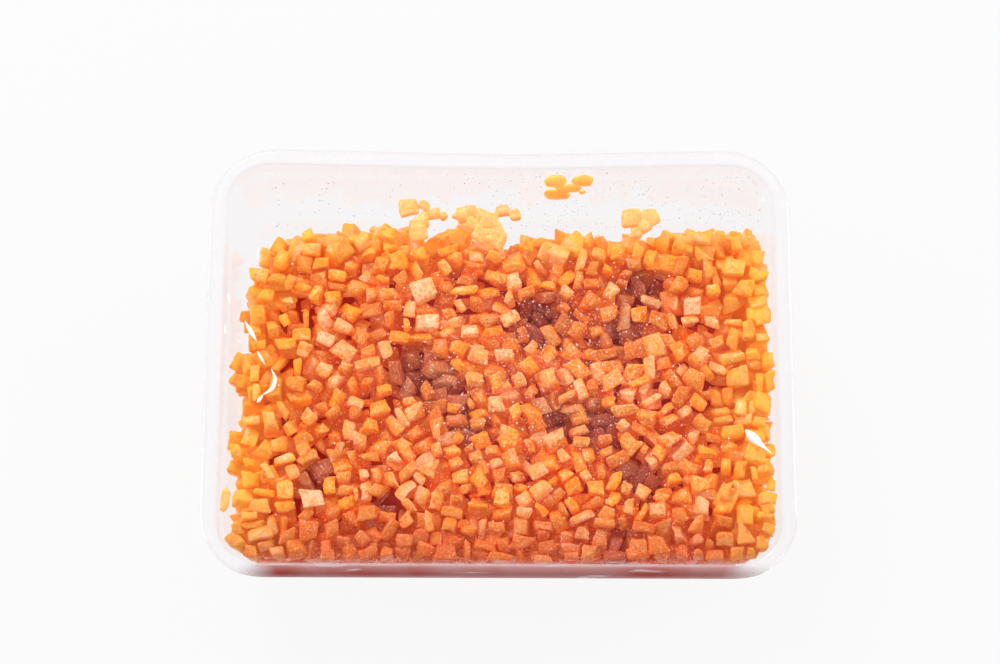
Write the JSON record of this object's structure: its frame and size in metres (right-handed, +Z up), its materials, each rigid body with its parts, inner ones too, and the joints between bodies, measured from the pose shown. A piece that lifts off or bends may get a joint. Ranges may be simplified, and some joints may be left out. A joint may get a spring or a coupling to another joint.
{
  "type": "sealed tray of candied orange peel dice",
  "caption": "Clear rectangular food tray with rounded corners, heat sealed with clear film and filled with small dice of candied orange peel.",
  "frame": {"origin": "under the middle of the pack's outline, at the level that the base stands on", "axes": "+X along the long side, +Y towards the side that the dice have slid away from, +Z up out of the film"},
  "size_m": [0.19, 0.1432, 0.0454],
  "materials": {
    "clear_tray": "clear thermoformed sheet, smooth and glossy",
    "clear_film": "clear sealing film, glossy, with fine droplets inside",
    "candied_peel": "moist translucent candied peel, orange zest on one side and pale pith on the other"
  },
  "bodies": {
    "root": {"tray": "clear_tray", "lid_film": "clear_film", "peel_heap": "candied_peel", "stuck_bits_back": "candied_peel"}
  },
  "joints": []
}
